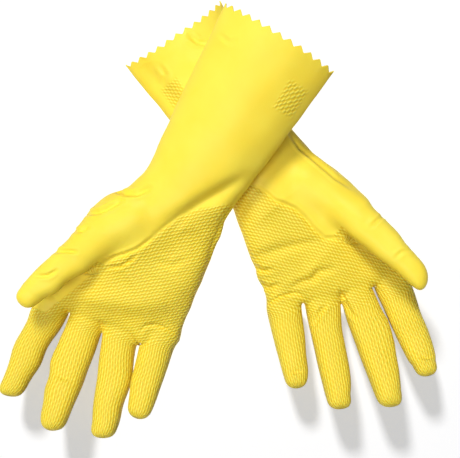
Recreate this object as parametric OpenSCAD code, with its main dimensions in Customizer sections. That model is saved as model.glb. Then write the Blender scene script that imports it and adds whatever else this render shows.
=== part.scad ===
// Pair of household rubber gloves, laid palm up on a flat surface with the forearms crossed.
// The left-hand glove lies on the surface, and the right-hand glove rests across its forearm.
// Frame: millimetres, Z up, origin on the surface under the middle of the pair.
// Inside one glove: X runs towards the thumb, Y towards the fingertips and Z out of the palm,
// from a point under the narrowest place of the wrist.
// Each glove is a thin hollow film, divided into zones where the rubber bends in use.

/* [Film] */
// Thickness of the rubber with its flock lining
wall = 0.8; // [0.5:0.1:1.5]
// Clearance between two zones that move against each other
seam_gap = 0.05; // [0.02:0.01:0.2]

/* [Cuff] */
// Length of the forearm from the cuff edge to the wrist
cuff_length = 109; // [80:1:150]
// Width of the cuff at its edge
cuff_w = 78; // [70:1:100]
// Thickness of the flattened cuff at its edge
cuff_t = 34; // [24:1:40]
// How far the cuff is creased to a lens shape, where 0 is an ellipse
cuff_lens = 0.6; // [0:0.1:0.9]
// Number of teeth round the pinked edge
teeth = 24; // [16:1:32]
// Depth of the teeth
tooth_depth = 3; // [1:0.5:5]

/* [Wrist] */
// Width at the narrowest place of the wrist
wrist_w = 59; // [50:1:70]
// Thickness at the wrist
wrist_t = 37; // [30:1:44]
// Distance of the wrist's bend from the narrowest place
wrist_bend_y = 10; // [6:1:20]
// Length of the film that bends at the wrist
wrist_flex_l = 10; // [8:1:16]

/* [Palm] */
// Place of the little finger's side of the knuckle line
palm_outer = [-43.5, 79]; // [-60:0.5:140]
// Place of the thumb's side of the knuckle line
palm_inner = [46, 107]; // [30:1:140]
// Thickness of the palm at its middle
palm_t = 35; // [28:1:42]
// Thickness at the knuckle line
knuckle_t = 26; // [22:1:32]
// How far the webs between the fingers reach past the knuckle line
web_l = 8.5; // [4:0.5:14]
// How far the palm is drawn in on the thumb's side, half way to the knuckle line
palm_waist = 9; // [0:1:16]
// Share of the thickness that lies flat on the surface
flat_share = 0.04; // [0.02:0.01:0.1]

/* [Fingers: index, middle, ring, little] */
// Place of each root across the hand
finger_x = [36.5, 12, -11.5, -35]; // [-60:0.5:60]
// Place of each root along the hand
finger_y = [119, 112, 104, 91]; // [60:0.5:150]
// Heading of each finger towards the thumb's side, on the left-hand glove
left_heading = [-11.5, -14.5, -21.5, -20.5]; // [-40:0.5:40]
// The same on the right-hand glove
right_heading = [-10.5, -18.5, -27, -20.5]; // [-40:0.5:40]
// Length of each finger from its root to its tip
finger_l = [65.5, 76, 72.5, 56.5]; // [50:0.5:100]
// Width of each finger at its root
finger_root_w = [23.5, 24.5, 24, 24]; // [18:0.5:25]
// Width of each finger near its tip
finger_tip_w = [15.5, 17, 16.5, 15]; // [12:0.5:22]
// Distance of each middle knuckle from the root
finger_knuckle = [34, 37, 36, 30]; // [26:0.5:45]
// Thickness of a finger as a share of its width
finger_flatness = 0.9; // [0.7:0.05:1]

/* [Thumb] */
// Place of the thumb's root across, along and above the hand
thumb_root = [35, 62, 33]; // [10:0.5:90]
// Heading of the thumb towards its own side
thumb_heading = 17.5; // [0:0.5:40]
// Length of the thumb from its root to its tip
thumb_l = 55.5; // [50:0.5:80]
// Width of the thumb at its root
thumb_root_w = 24; // [18:0.5:28]
// Width of the thumb near its tip
thumb_tip_w = 16; // [12:0.5:24]
// Distance of the thumb's knuckle from its root
thumb_knuckle = 29; // [26:0.5:40]
// Place of the round mass in the ball of the thumb that is nearer the wrist
thumb_ball_low = [19, 26]; // [0:0.5:60]
// Place of the one that is nearer the thumb
thumb_ball_high = [28.5, 41]; // [0:0.5:60]
// Width of the ball of the thumb
thumb_ball_w = 38; // [30:1:44]

/* [Bends] */
// Length of the film that bends at each root and knuckle
flex_l = 11; // [9:0.5:14]
// Distance of a root's bend past the root
root_bend = 8; // [7:0.5:12]
// Distance of a bend's axis from the middle of the digit towards the palm
bend_rise = 4; // [0:0.5:6]
// Rise of the stub, the base and the tip of a finger on the left-hand glove
left_rise = [5, 13, 25]; // [0:1:60]
// The same on the right-hand glove
right_rise = [13, 24, 36]; // [0:1:60]
// Rise of the stub, the base and the tip of a thumb
thumb_rise = [14, 13, 9]; // [0:1:40]
// Angle of the thumb's bends from the palm's normal
thumb_swing = 45; // [0:5:90]

/* [Lay of the pair] */
// Place of the left-hand wrist
left_at = [29, 35]; // [-100:0.5:100]
// Heading of the left-hand fingers from straight towards -Y
left_turn = 30; // [0:0.5:45]
// Heading of the left-hand forearm, measured in the same way
left_forearm_turn = 34; // [0:0.5:45]
// Place of the right-hand wrist
right_at = [-20, 15]; // [-100:0.5:100]
// Heading of the right-hand fingers from straight towards -Y
right_turn = 33; // [0:0.5:45]
// Heading of the right-hand forearm, measured in the same way
right_forearm_turn = 32; // [0:0.5:45]
// Rise of the right-hand forearm over the other one's crest, where their middle lines cross
rest_rise = 3.2; // [3:0.1:12]

/* [Hidden] */
HANDS = ["left", "right"];
FINGERS = ["index", "middle", "ring", "little"];
DIGITS = concat(["thumb"], FINGERS);
ZONES = ["root_flex", "base", "knuckle_flex", "tip"];

latex = "gold";
latex_shade = "goldenrod";
up = [0, 0, 1];
// Sides and steps of the rings
trunk_sides = 2 * teeth;
digit_sides = 14;
ball_sides = 20;
cuff_steps = 3;
palm_steps = 5;
tip_steps = 4;
// How far a bore runs past the end that it opens
through = 2;
// Lowest place of a ring, as a share of its half thickness
flat_cut = 1 - 2 * flat_share;
// Share of the forearm that the pinked end takes up
pinked_share = 0.1;
// How much more film a full crease takes off at the sides
crease_inset = 2;
// Place and width of the hand's first ring
wrist_end = wrist_bend_y + wrist_flex_l / 2;
wrist_spread = 4;
hand_start_w = wrist_w + wrist_spread;
// Share of the palm's length at which it is thickest
palm_crest = 0.45;
// Rings of the webs: shares of their reach and of the thickness
web_rings = [[0.65, 0.88], [1, 0.65]];
// Share of that thinning by which the webs are also drawn in at the sides
web_narrowing = 0.25;
// Share of the palm by which its bore starts ahead of the first ring
bore_start = 0.03;
// Share of a digit's length at which its taper changes, and the root's share in the width there
taper_at = 0.5;
taper_root = 0.6;
// Place of a stub's round end behind the root, its share of the stub's thickness, and the flat end's length
stub_back = 22;
stub_round = 0.6;
stub_end = 2;

// Points of one closed ring, creased to a lens and cut flat underneath where asked
function ring(sides, at, across, above, half_w, half_t, lens = 0, cut = 1) = [
    for (i = [0 : sides - 1])
        let (turn = 360 * i / sides, y = sin(turn))
            at + across * half_w * cos(turn) + above * half_t * max(-cut, sign(y) * pow(abs(y), 1 + lens))
];

function flat_list(lists) = [for (l = lists) each l];

// Triangles between neighbouring rings, facing outwards unless turned inwards
function side_faces(rings, sides, first, inwards = false) = [
    for (k = [0 : rings - 2], i = [0 : sides - 1])
        let (
            a = first + k * sides + i,
            b = first + k * sides + (i + 1) % sides,
            faces = [[a, b, b + sides], [a, b + sides, a + sides]]
        )
            each inwards ? [for (f = faces) [f[2], f[1], f[0]]] : faces
];

// Triangles of the end that joins an outer ring to an inner one
function end_faces(outer, inner, sides, start) = [
    for (i = [0 : sides - 1])
        let (
            j = (i + 1) % sides,
            faces = [[outer + i, inner + i, inner + j], [outer + i, inner + j, outer + j]]
        )
            each start ? faces : [for (f = faces) [f[2], f[1], f[0]]]
];

// Triangles that close a ring to a point
function cap_faces(first, sides, apex, inwards = false) = [
    for (i = [0 : sides - 1])
        let (face = [first + i, first + (i + 1) % sides, apex])
            inwards ? [face[2], face[1], face[0]] : face
];

// Film between two stacks of rings, open at both ends
module sleeve(outer, inner) {
    sides = len(outer[0]);
    inner_first = len(outer) * sides;
    polyhedron(
        points = concat(flat_list(outer), flat_list(inner)),
        faces = concat(
            side_faces(len(outer), sides, 0),
            side_faces(len(inner), sides, inner_first, true),
            end_faces(0, inner_first, sides, true),
            end_faces(inner_first - sides, inner_first + (len(inner) - 1) * sides, sides, false)
        )
    );
}

// Film between two stacks of rings, closed at the end
module thimble(outer, inner, outer_apex, inner_apex) {
    sides = len(outer[0]);
    inner_first = len(outer) * sides;
    apex = inner_first + len(inner) * sides;
    polyhedron(
        points = concat(flat_list(outer), flat_list(inner), [outer_apex, inner_apex]),
        faces = concat(
            side_faces(len(outer), sides, 0),
            side_faces(len(inner), sides, inner_first, true),
            end_faces(0, inner_first, sides, true),
            cap_faces(inner_first - sides, sides, apex),
            cap_faces(inner_first + (len(inner) - 1) * sides, sides, apex + 1, true)
        )
    );
}

// Solid that fills a stack of rings
module filled(rings) {
    sides = len(rings[0]);
    last = (len(rings) - 1) * sides;
    polyhedron(
        points = flat_list(rings),
        faces = concat(
            side_faces(len(rings), sides, 0),
            [[for (i = [sides - 1 : -1 : 0]) i]],
            [[for (i = [0 : sides - 1]) last + i]]
        )
    );
}

// Half thickness of the forearm at a share of its length from the wrist
function cuff_half_t(share) = lookup(share, [[0, wrist_t / 2], [1, cuff_t / 2]]);

// One ring of the forearm at a distance y from the wrist, with its film taken off by inset
function cuff_ring(side, y, inset, tooth = 0) =
    let (
        turn = rot_z(side == "left" ? left_turn - left_forearm_turn : right_turn - right_forearm_turn),
        share = -y / cuff_length,
        half_w = lookup(share, [[0, wrist_w / 2], [1, cuff_w / 2]]),
        half_t = cuff_half_t(share),
        lens = cuff_lens * max(0, min(1, share)),
        side_inset = inset * (1 + crease_inset * lens),
        points = ring(trunk_sides, [0, y, half_t * flat_cut], [1, 0, 0], up,
            half_w - side_inset, half_t - inset, lens, flat_cut)
    )
        [for (i = [0 : trunk_sides - 1]) turn * (points[i] + [0, tooth * (i % 2), 0])];

// Rings of the forearm, from the pinked edge to the wrist's bend
function cuff_rings(side, inset) =
    let (plain_l = cuff_length * (1 - pinked_share))
        concat(
            [cuff_ring(side, -cuff_length, inset, tooth_depth)],
            [for (k = [cuff_steps : -1 : 0]) cuff_ring(side, -plain_l * k / cuff_steps, inset)],
            [cuff_ring(side, wrist_bend_y - wrist_flex_l / 2, inset)]
        );

// One ring across the palm, at a share from the wrist's bend to the knuckle line
function palm_ring(share, inset, past = 0, shrink = 1) =
    let (
        edge_a = [-hand_start_w / 2, wrist_end],
        edge_b = [hand_start_w / 2, wrist_end],
        a = edge_a + (palm_outer - edge_a) * share,
        b = edge_b + (palm_inner - edge_b) * share - [palm_waist * sin(180 * share), 0],
        across = (b - a) / norm(b - a),
        ahead = [-across[1], across[0]],
        middle = (a + b) / 2 + ahead * past,
        narrow = 1 - (1 - shrink) * web_narrowing,
        half_t = lookup(share, [[0, wrist_t / 2], [palm_crest, palm_t / 2], [1, knuckle_t / 2]])
    )
        ring(trunk_sides, [middle[0], middle[1], half_t * flat_cut], [across[0], across[1], 0], up,
            (norm(b - a) / 2 - inset) * narrow, (half_t - inset) * shrink, 0, flat_cut);

// Rings of the palm, closed down to the webs between the fingers
function palm_rings(inset, start) = concat(
    [for (k = [0 : palm_steps]) palm_ring(k / palm_steps - (k == 0 ? start : 0), inset)],
    [for (web = web_rings) palm_ring(1, inset, web_l * web[0] - inset, web[1])]
);

// Centre line of a digit: [root, heading, rises, root width, tip width, length, knuckle, root bend]
function digit_of(side, name) =
    name == "thumb"
        ? [thumb_root, thumb_heading, thumb_rise,
            thumb_root_w, thumb_tip_w, thumb_l, thumb_knuckle, flex_l / 2]
        : let (
            k = search([name], FINGERS)[0],
            heading = side == "left" ? left_heading[k] : right_heading[k],
            rises = side == "left" ? left_rise : right_rise
        )
            [[finger_x[k], finger_y[k], knuckle_t / 2 * flat_cut], heading, rises,
                finger_root_w[k], finger_tip_w[k], finger_l[k], finger_knuckle[k], root_bend];

function side_of(d) = [cos(d[1]), -sin(d[1]), 0];
function along_of(d, zone) = [sin(d[1]) * cos(d[2][zone]), cos(d[1]) * cos(d[2][zone]), sin(d[2][zone])];
function above_of(d, zone) = [-sin(d[1]) * sin(d[2][zone]), -cos(d[1]) * sin(d[2][zone]), cos(d[2][zone])];

// Bends of a digit, on its centre line
function bend_1(d) = d[0] + along_of(d, 0) * d[7];
function bend_2(d) = bend_1(d) + along_of(d, 1) * (d[6] - d[7]);

// Point of a digit at a distance s from its root
function digit_point(d, s, zone) =
    zone == 0 ? d[0] + along_of(d, 0) * s
    : zone == 1 ? bend_1(d) + along_of(d, 1) * (s - d[7])
    : bend_2(d) + along_of(d, 2) * (s - d[6]);

// Half width of a digit, which keeps most of its width up to the rounded end
function digit_half_w(d, s) =
    lookup(s / d[5], [[0, d[3]], [taper_at, d[3] * taper_root + d[4] * (1 - taper_root)], [1, d[4]]]) / 2;

function digit_ring(d, s, zone, inset, shrink = 1) =
    let (half = digit_half_w(d, s))
        ring(digit_sides, digit_point(d, s, zone), side_of(d), above_of(d, zone),
            (half - inset) * shrink, (half * finger_flatness - inset) * shrink);

// Ring in the middle of a bend, half way between the zones on its two sides
function bend_ring(d, s, zone, inset) =
    let (
        half = digit_half_w(d, s),
        above = above_of(d, zone) + above_of(d, zone + 1)
    )
        ring(digit_sides, digit_point(d, s, zone), side_of(d), above / norm(above),
            half - inset, half * finger_flatness - inset);

function flex_rings(d, s, zone, inset) = [
    digit_ring(d, s - flex_l / 2 + seam_gap, zone, inset),
    bend_ring(d, s, zone, inset),
    digit_ring(d, s + flex_l / 2 - seam_gap, zone + 1, inset)
];

// Rounded end of a digit, from the last bend to the apex
function tip_rings(d, inset) =
    let (start = d[6] + flex_l / 2, dome = d[4] / 2)
        concat(
            [digit_ring(d, start, 2, inset), digit_ring(d, d[5] - dome, 2, inset)],
            [for (k = [1 : tip_steps - 1])
                let (turn = 90 * k / tip_steps)
                    digit_ring(d, d[5] - dome + (dome - inset) * sin(turn), 2, inset, cos(turn))]
        );
function tip_apex(d, inset) = digit_point(d, d[5] - inset, 2);

module root_flex(d) {
    color(latex_shade) sleeve(flex_rings(d, d[7], 0, 0), flex_rings(d, d[7], 0, wall));
}

module digit_base(d) {
    stations = [d[7] + flex_l / 2, d[6] - flex_l / 2];
    color(latex) sleeve(
        [for (s = stations) digit_ring(d, s, 1, 0)],
        [for (s = stations) digit_ring(d, s, 1, wall)]
    );
}

module knuckle_flex(d) {
    color(latex_shade) sleeve(flex_rings(d, d[6], 1, 0), flex_rings(d, d[6], 1, wall));
}

module digit_tip(d) {
    color(latex) thimble(tip_rings(d, 0), tip_rings(d, wall), tip_apex(d, 0), tip_apex(d, wall));
}

module cuff(side) {
    color(latex) sleeve(cuff_rings(side, 0), cuff_rings(side, wall));
}

module wrist_flex(side) {
    start = wrist_bend_y - wrist_flex_l / 2 + seam_gap;
    color(latex_shade) sleeve(
        [cuff_ring(side, start, 0), palm_ring(0, 0, -seam_gap)],
        [cuff_ring(side, start, wall), palm_ring(0, wall, -seam_gap)]
    );
}

// Flat end of a stub, where the digit's root bends, run past it where it is bored out
module stub_face(d, inset) {
    end = d[7] - flex_l / 2;
    past = inset > 0 ? through : 0;
    filled([digit_ring(d, end - stub_end, 0, inset), digit_ring(d, end + past, 0, inset)]);
}

// Solid stub of a finger, from inside the palm to its flat end
module stub(d, inset) {
    hull() {
        translate(d[0] - [sin(d[1]), cos(d[1]), 0] * stub_back)
            sphere(d[3] / 2 * finger_flatness * stub_round - inset, $fn = ball_sides);
        stub_face(d, inset);
    }
}

// Ball of the thumb, from the palm to the flat end of the thumb's stub
module thumb_ball(d, inset) {
    r = thumb_ball_w / 2;
    hull() {
        for (place = [thumb_ball_low, thumb_ball_high])
            translate([place[0], place[1], r]) sphere(r - inset, $fn = ball_sides);
        stub_face(d, inset);
    }
}

module hand_mass(side, inset) {
    filled(palm_rings(inset, inset > 0 ? bore_start : 0));
    thumb_ball(digit_of(side, "thumb"), inset);
    for (name = FINGERS) stub(digit_of(side, name), inset);
}

module hand(side) {
    color(latex) difference() {
        hand_mass(side, 0);
        hand_mass(side, wall);
        translate([-cuff_w, wrist_end - cuff_length, -through])
            cube([2 * cuff_w, cuff_length, palm_t + cuff_w]);
    }
}

// Distances from each wrist back to the place where the forearms' middle lines cross, seen from above
left_ahead = [sin(left_forearm_turn), -cos(left_forearm_turn)];
right_ahead = [-sin(right_forearm_turn), -cos(right_forearm_turn)];
function turn_of(a, b) = a[0] * b[1] - a[1] * b[0];
left_back = turn_of(left_at - right_at, right_ahead) / turn_of(left_ahead, right_ahead);
right_back = turn_of(left_at - right_at, left_ahead) / turn_of(left_ahead, right_ahead);

// Tilt of the right-hand glove, from its knuckles on the surface up to the forearm that it crosses
crest = cuff_half_t(left_back / cuff_length) * (1 + flat_cut);
touch_y = max(palm_outer[1], palm_inner[1]) + web_l * web_rings[0][0];
rough_tilt = asin((crest + rest_rise) / (touch_y + right_back));
right_tilt = asin((crest + rest_rise) / (touch_y + right_back / cos(rough_tilt)));

// Lift of the tilted glove that sets the lowest point of its webs and stubs on the surface
touch_points = flat_list(concat(
    [for (web = web_rings) palm_ring(1, 0, web_l * web[0], web[1])],
    [for (name = FINGERS)
        let (d = digit_of("right", name), end = d[7] - flex_l / 2)
            each [digit_ring(d, end - stub_end, 0, 0), digit_ring(d, end, 0, 0)]]
));
right_lift = max([for (p = touch_points) p[1] * sin(right_tilt) - p[2] * cos(right_tilt)]);

function rot_x(a) = [[1, 0, 0], [0, cos(a), -sin(a)], [0, sin(a), cos(a)]];
function rot_z(a) = [[cos(a), -sin(a), 0], [sin(a), cos(a), 0], [0, 0, 1]];
mirror_x = [[-1, 0, 0], [0, 1, 0], [0, 0, 1]];

// Turn and place of a glove's own frame in the pair's frame
function lay_turn(hand) =
    hand == "left" ? rot_z(180 + left_turn) * mirror_x : rot_z(180 - right_turn) * rot_x(-right_tilt);
function lay_place(hand) =
    hand == "left" ? [left_at[0], left_at[1], 0] : [right_at[0], right_at[1], right_lift];

module lay(hand) {
    turn = lay_turn(hand);
    place = lay_place(hand);
    multmatrix([for (k = [0 : 2]) [each turn[k], place[k]]]) children();
}

// Axis of a bend in the pair's frame: a positive angle closes a finger or wrist and opens a thumb
function bend_axis(hand, name, at, axis) =
    let (turn = lay_turn(hand), sense = hand == "left" ? -1 : 1)
        [str(hand, "_", name), turn * at + lay_place(hand), turn * axis * sense];
function finger_axes(hand, name, d) = [
    bend_axis(hand, str(name, "_root"), bend_1(d) + above_of(d, 1) * bend_rise, side_of(d)),
    bend_axis(hand, str(name, "_knuckle"), bend_2(d) + above_of(d, 2) * bend_rise, side_of(d))
];
function swung(d, zone) = -above_of(d, zone) * cos(thumb_swing) - side_of(d) * sin(thumb_swing);
function thumb_axes(hand, d) = [
    bend_axis(hand, "thumb_root", bend_1(d), swung(d, 1)),
    bend_axis(hand, "thumb_knuckle", bend_2(d), swung(d, 2))
];

for (side = HANDS) {
    echo(bends = concat(
            [bend_axis(side, "wrist", [0, wrist_bend_y, wrist_t / 2 * flat_cut], [1, 0, 0])],
            thumb_axes(side, digit_of(side, "thumb")),
            [for (name = FINGERS) each finger_axes(side, name, digit_of(side, name))]
        ));
    lay(side) cuff(side);
    lay(side) wrist_flex(side);
    lay(side) hand(side);
    for (name = DIGITS) {
        d = digit_of(side, name);
        lay(side) root_flex(d);
        lay(side) digit_base(d);
        lay(side) knuckle_flex(d);
        lay(side) digit_tip(d);
    }
}
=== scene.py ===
import bpy
import bmesh
import math
import numpy as np
from mathutils import Matrix, Vector


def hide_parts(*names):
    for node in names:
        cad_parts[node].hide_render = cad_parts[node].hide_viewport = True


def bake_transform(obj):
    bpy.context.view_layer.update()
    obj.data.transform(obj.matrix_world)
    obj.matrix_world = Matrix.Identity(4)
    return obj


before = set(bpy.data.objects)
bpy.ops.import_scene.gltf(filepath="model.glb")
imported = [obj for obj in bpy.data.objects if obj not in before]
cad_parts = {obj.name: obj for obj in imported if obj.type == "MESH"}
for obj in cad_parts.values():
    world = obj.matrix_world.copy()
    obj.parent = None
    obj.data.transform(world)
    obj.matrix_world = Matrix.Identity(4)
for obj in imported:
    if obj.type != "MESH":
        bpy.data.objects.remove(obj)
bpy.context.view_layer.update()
scene = bpy.context.scene
scene.view_settings.view_transform = "Standard"
mm = 0.001
print("frame loaded:", len(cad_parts), "solids")


# camera: straight above the pair, as in the photograph
overhead = {"x": 7.6, "y": -8.5, "height": 500.0, "span": 322.0, "pixels": (460, 458)}


def addCamera(view):
    data = bpy.data.cameras.new("overheadCamera")
    data.sensor_width = 36.0
    data.lens = data.sensor_width * view["height"] / view["span"]
    data.clip_start = 0.01
    data.clip_end = 20.0
    cam = bpy.data.objects.new("overheadCamera", data)
    cam.location = (view["x"] * mm, view["y"] * mm, view["height"] * mm)
    scene.collection.objects.link(cam)
    scene.camera = cam


addCamera(overhead)
print("camera set")


# sizes of one glove in mm, x to the thumb, y to the fingertips, z out of the palm
film = {"thickness": 0.8, "grain": 0.8, "toothBand": 9.0, "edgeBand": 36.0, "lowest": 0.05}
forearm = {"length": 109.0, "edgeW": 78.0, "edgeT": 34.0, "lens": 0.6, "teeth": 24, "toothDepth": 3.0,
           "rings": 40, "spare": 6.0}  # spare film past the cuff, cut off later
wrist = {"w": 59.0, "t": 37.0, "bendY": 10.0, "bendL": 10.0, "spread": 4.0}
palm = {"outer": (-43.5, 79.0), "inner": (46.0, 107.0), "t": 35.0, "knuckleT": 26.0, "web": 8.5,
        "waist": 9.0, "crest": 0.45, "flat": 0.92, "fullness": 0.9, "rings": 14,
        "cap": [(0.65, 0.88), (1.0, 0.65)], "capNarrowing": 0.25}  # the web's run-out between the fingers
digitNames = ["thumb", "index", "middle", "ring", "little"]
fingerRoots = {"index": (36.5, 119.0), "middle": (12.0, 112.0), "ring": (-11.5, 104.0),
               "little": (-35.0, 91.0)}
fingerShape = {  # length, width at the root, width at the tip, place of the knuckle
    "index": (65.5, 23.5, 15.5, 34.0), "middle": (76.0, 24.5, 17.0, 37.0),
    "ring": (72.5, 24.0, 16.5, 36.0), "little": (56.5, 24.0, 15.0, 30.0)}
thumbShape = {"root": (35.0, 62.0, 33.0), "heading": 17.5, "rise": (14.0, 13.0, 9.0), "length": 55.5,
              "rootW": 24.0, "tipW": 16.0, "knuckle": 29.0,
              "ball": [((19.0, 26.0), 19.0), ((28.5, 41.0), 19.0)]}
bends = {"length": 11.0, "root": 8.0, "flatness": 0.9, "fullness": 0.8,
         "halfway": 0.6,  # the root's share in the width halfway along a digit
         "rootGive": {"thumb": (12.0, 20.0), "finger": (9.0, 18.5)}}  # where the film at a root gives way
# how far a digit's tube runs back into the palm, and how it tapers and levels out there
sunken = {"line": 24.0, "seen": 12.0, "finger": 20.0, "thumb": 6.0, "taperFrom": 9.0, "taper": 0.6,
          "rise": 0.4}
# round ends in degrees from the rim, and the rings that make them
tipRound = {"degrees": (12, 84), "rings": 7, "fullness": 0.9}
ballRound = {"degrees": 85, "rings": 9}
# how each glove lies: turns in degrees, rise of the digits, reach of the cuff's edge from back to palm; the
# right one's height and tilt are those at which it rests on the left one
lay = {
    "left": {"turn": 30.0, "forearm": 34.0, "at": (29.0, 35.0, 0.0), "tilt": 0.0,
             "rise": (5.0, 13.0, 25.0), "edge": (-6.0, -1.0, -7.0),
             "heading": {"index": -11.5, "middle": -14.5, "ring": -21.5, "little": -20.5}},
    "right": {"turn": 33.0, "forearm": 32.0, "at": (-20.0, 15.0, 25.0866), "tilt": 12.8017,
              "rise": (13.0, 24.0, 36.0), "edge": (-4.0, 7.0, 9.0),
              "heading": {"index": -10.5, "middle": -18.5, "ring": -27.0, "little": -20.5}}}
wristEnd = wrist["bendY"] + wrist["bendL"] / 2
unitX, unitZ = (1, 0, 0), (0, 0, 1)


def smoothStep(t):
    t = np.clip(t, 0.0, 1.0)
    return t * t * (3.0 - 2.0 * t)


# 0 up to a start, then growing to 1 over an ease
def growFrom(values, start, ease):
    return smoothStep((values - start) / ease)


def kindOf(name):
    return "thumb" if name == "thumb" else "finger"


def turnZ(degrees):
    return np.array(Matrix.Rotation(math.radians(degrees), 3, "Z"))


# a glove's own frame to the pair's frame: left is the mirrored one
def layOf(side):
    row = lay[side]
    if side == "left":
        turn = turnZ(180 + row["turn"]) @ np.diag([-1.0, 1.0, 1.0])
    else:
        turn = turnZ(180 - row["turn"]) @ np.array(Matrix.Rotation(math.radians(-row["tilt"]), 3, "X"))
    return turn, np.array(row["at"])


def toPair(side, points):
    turn, at = layOf(side)
    return (np.asarray(points, float) @ turn.T + at) * mm


# millimetres per pixel of the photograph at each point's height
def pixelSize(points):
    fromCamera = (overhead["height"] - points[:, 2]) / overhead["height"]
    return overhead["span"] / overhead["pixels"][0] * fromCamera


# where a point of the pair, in mm, falls in the photograph's frame
def toPixels(points):
    perPixel = pixelSize(points)
    across = overhead["pixels"][0] / 2 + (points[:, 0] - overhead["x"]) / perPixel
    down = overhead["pixels"][1] / 2 - (points[:, 1] - overhead["y"]) / perPixel
    return np.stack([across, down], 1)


# a ring of the film: fullness 1 is an ellipse, less than 1 has a flatter face and fuller sides
def ringAt(centre, across, above, halfW, halfT, fullness=1.0, sides=64):
    turn = np.linspace(0.0, 2 * math.pi, sides, endpoint=False)
    x, y = (np.sign(wave) * np.abs(wave) ** fullness for wave in (np.cos(turn), np.sin(turn)))
    return np.asarray(centre) + np.outer(x * halfW, across) + np.outer(y * halfT, above)


def addTube(verts, faces, rings):
    first = len(verts)
    sides = len(rings[0])
    for ring in rings:
        verts.extend(ring.tolist())
    for k in range(len(rings) - 1):
        a = first + k * sides
        for i in range(sides):
            j = (i + 1) % sides
            faces.append((a + i, a + j, a + sides + j, a + sides + i))
    last = first + (len(rings) - 1) * sides
    faces.append(tuple(range(first + sides - 1, first - 1, -1)))
    faces.append(tuple(range(last, last + sides)))


def forearmTurn(side):
    row = lay[side]
    return turnZ(row["turn"] - row["forearm"])


def forearmHalf(share):
    halfW = np.interp(share, [0, 1], [wrist["w"] / 2, forearm["edgeW"] / 2])
    halfT = np.interp(share, [0, 1], [wrist["t"] / 2, forearm["edgeT"] / 2])
    return halfW, halfT


def trunkRings(side):
    rings = []
    turn = forearmTurn(side)
    for y in np.linspace(-forearm["length"] - forearm["spare"], 0, forearm["rings"]):
        halfW, halfT = forearmHalf(-y / forearm["length"])
        rings.append(ringAt((0, y, halfT * palm["flat"]), unitX, unitZ, halfW, halfT) @ turn.T)
    startA = np.array([-(wrist["w"] + wrist["spread"]) / 2, wristEnd])
    startB = startA * [-1, 1]
    stops = [(s, 0.0, 1.0) for s in np.linspace(0, 1, palm["rings"])] + [(1, *row) for row in palm["cap"]]
    for share, past, shrink in stops:
        a = startA + (np.array(palm["outer"]) - startA) * share
        b = startB + (np.array(palm["inner"]) - startB) * share
        b = b - [palm["waist"] * math.sin(math.pi * share), 0]
        across = (b - a) / np.linalg.norm(b - a)
        middle = (a + b) / 2 + np.array([-across[1], across[0]]) * past * palm["web"]
        halfT = np.interp(share, [0, palm["crest"], 1], [wrist["t"] / 2, palm["t"] / 2, palm["knuckleT"] / 2])
        halfW = np.linalg.norm(b - a) / 2 * (1 - (1 - shrink) * palm["capNarrowing"])
        fullness = 1 - (1 - palm["fullness"]) * min(1.0, 2 * share)
        centre = (*middle, halfT * palm["flat"])
        rings.append(ringAt(centre, (*across, 0), unitZ, halfW, halfT * shrink, fullness))
    return rings


# centre line of a digit: rows of place, side, above, half width, and the length s from the root
def digitLine(side, name):
    if name == "thumb":
        root = np.array(thumbShape["root"])
        heading = thumbShape["heading"]
        rise = thumbShape["rise"]
        length, rootW, tipW, knuckle = (thumbShape[k] for k in ("length", "rootW", "tipW", "knuckle"))
        rootBend = bends["length"] / 2
    else:
        root = np.array([*fingerRoots[name], palm["knuckleT"] / 2 * palm["flat"]])
        heading = lay[side]["heading"][name]
        rise = lay[side]["rise"]
        length, rootW, tipW, knuckle = fingerShape[name]
        rootBend = bends["root"]
    step = 0.5
    s = np.arange(-sunken["line"], length + step / 2, step)
    half = bends["length"] / 2
    first = smoothStep((s - rootBend + half) / bends["length"])
    second = smoothStep((s - knuckle + half) / bends["length"])
    climb = np.radians(rise[0] + (rise[1] - rise[0]) * first + (rise[2] - rise[1]) * second)
    climb[s < 0] *= sunken["rise"]
    ahead = np.array([math.sin(math.radians(heading)), math.cos(math.radians(heading)), 0.0])
    along = np.cos(climb)[:, None] * ahead + np.sin(climb)[:, None] * np.array(unitZ)
    place = np.cumsum(along * step, 0)
    place += root - place[np.searchsorted(s, 0.0)]
    across = np.array([ahead[1], -ahead[0], 0.0])
    above = np.cross(across, along)
    middleW = rootW * bends["halfway"] + tipW * (1 - bends["halfway"])
    halfW = np.interp(s / length, [0, 0.5, 1], [rootW / 2, middleW / 2, tipW / 2])
    return {"s": s, "place": place, "along": along, "across": across, "above": above, "halfW": halfW,
            "length": length, "tipW": tipW, "rootBend": rootBend, "knuckle": knuckle}


def digitRings(line, depth):
    rings = []
    dome = line["tipW"] / 2
    last = line["length"] - dome
    taperFrom = sunken["taperFrom"]

    def addRing(place, k, halfW):
        rings.append(ringAt(place, line["across"], line["above"][k], halfW, halfW * bends["flatness"],
                            bends["fullness"]))

    between = 3  # steps of the centre line from ring to ring
    for k in np.flatnonzero((line["s"] >= -depth) & (line["s"] <= last))[::between]:
        inside = smoothStep((line["s"][k] + taperFrom) / (taperFrom - depth)) if depth > taperFrom else 0.0
        addRing(line["place"][k], k, line["halfW"][k] * (1 - sunken["taper"] * inside))
    k = np.searchsorted(line["s"], last)
    for turn in np.radians(np.linspace(*tipRound["degrees"], tipRound["rings"])):
        place = line["place"][k] + line["along"][k] * dome * math.sin(turn)
        addRing(place, k, line["halfW"][k] * math.cos(turn) ** tipRound["fullness"])
    return rings


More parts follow.
